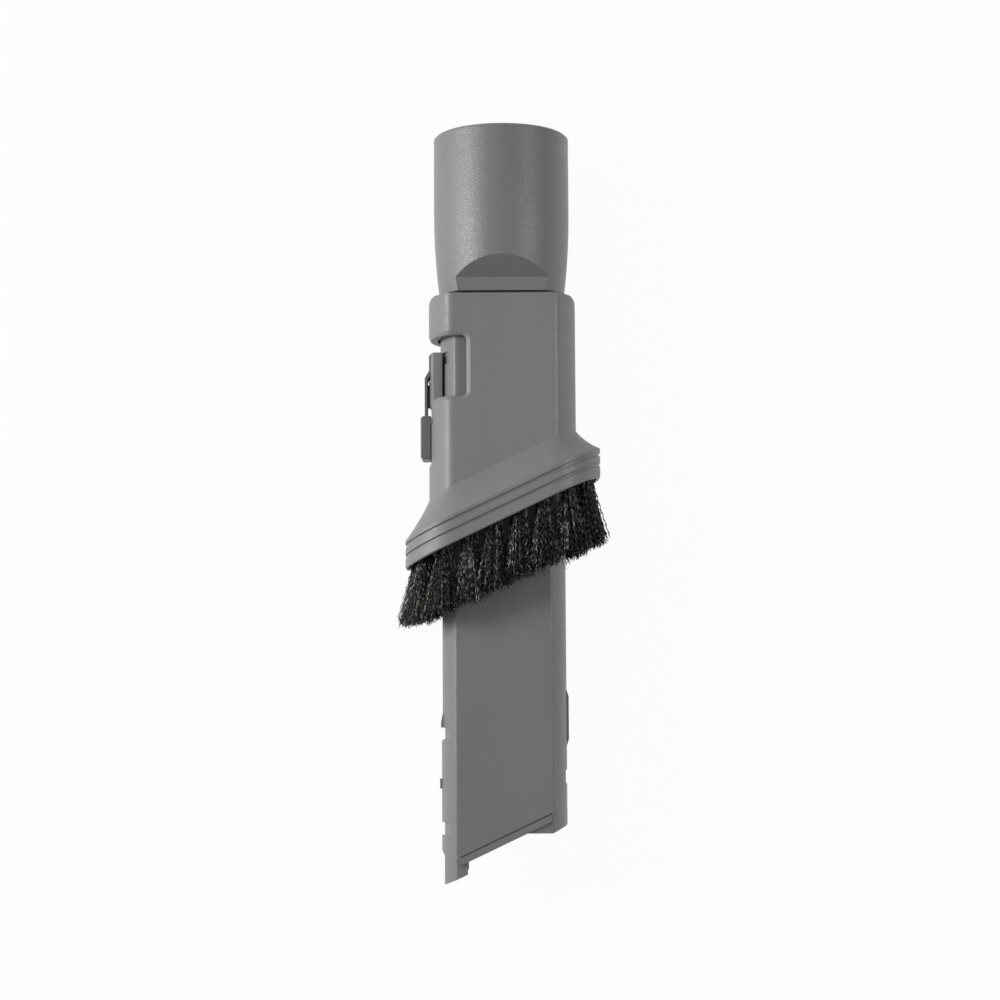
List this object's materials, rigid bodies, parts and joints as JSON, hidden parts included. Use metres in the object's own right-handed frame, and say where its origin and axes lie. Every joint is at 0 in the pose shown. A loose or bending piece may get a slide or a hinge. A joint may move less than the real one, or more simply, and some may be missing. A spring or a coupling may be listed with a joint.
{
  "type": "vacuum crevice tool with sliding dusting brush",
  "caption": "Flat vacuum crevice nozzle with a round wand socket and a slanted dusting brush that slides down it to the mouth, held by a side release lever.",
  "frame": {"origin": "on the wand socket's axis, 2 mm inside its mouth", "axes": "+Y along the tool, out of the wand socket; +Z out of the front face; +X to the right in the picture, away from the release lever. The tool lies on its back."},
  "size_m": [0.0624, 0.219, 0.0432],
  "materials": {
    "nozzle_plastic": "fine spark-eroded grey ABS",
    "sleeve_plastic": "fine spark-eroded grey ABS",
    "carrier_plastic": "plain black moulding",
    "lever_plastic": "fine spark-eroded grey acetal",
    "bristles": "crimped black bristle",
    "spring_steel": "bright drawn wire"
  },
  "bodies": {
    "nozzle": {"crevice_nozzle": "nozzle_plastic"},
    "brush": {"brush_sleeve": "sleeve_plastic", "tuft_carrier": "carrier_plastic", "tuft_anchors": "spring_steel", "release_spring": "spring_steel", "tuft_01": "bristles", "tuft_02": "bristles", "tuft_03": "bristles", "tuft_04": "bristles", "tuft_05": "bristles", "tuft_06": "bristles", "tuft_07": "bristles", "tuft_08": "bristles", "tuft_09": "bristles", "tuft_10": "bristles", "tuft_11": "bristles", "tuft_12": "bristles", "tuft_13": "bristles", "tuft_14": "bristles", "tuft_15": "bristles", "tuft_16": "bristles", "tuft_17": "bristles", "tuft_18": "bristles", "tuft_19": "bristles"},
    "lever": {"release_lever": "lever_plastic"}
  },
  "joints": [
    {"name": "brush_slide", "type": "slide", "parent": "nozzle", "child": "brush", "axis": [0, -1, 0], "range_m": [0, 0.1095]},
    {"name": "lever_press", "type": "hinge", "parent": "brush", "child": "lever", "pos_m": [-0.0204, -0.0834, 0], "axis": [0, 0, 1], "range_deg": [0, 4], "stiffness_Nm_per_rad": 0.05, "deforming": ["release_spring"]}
  ]
}
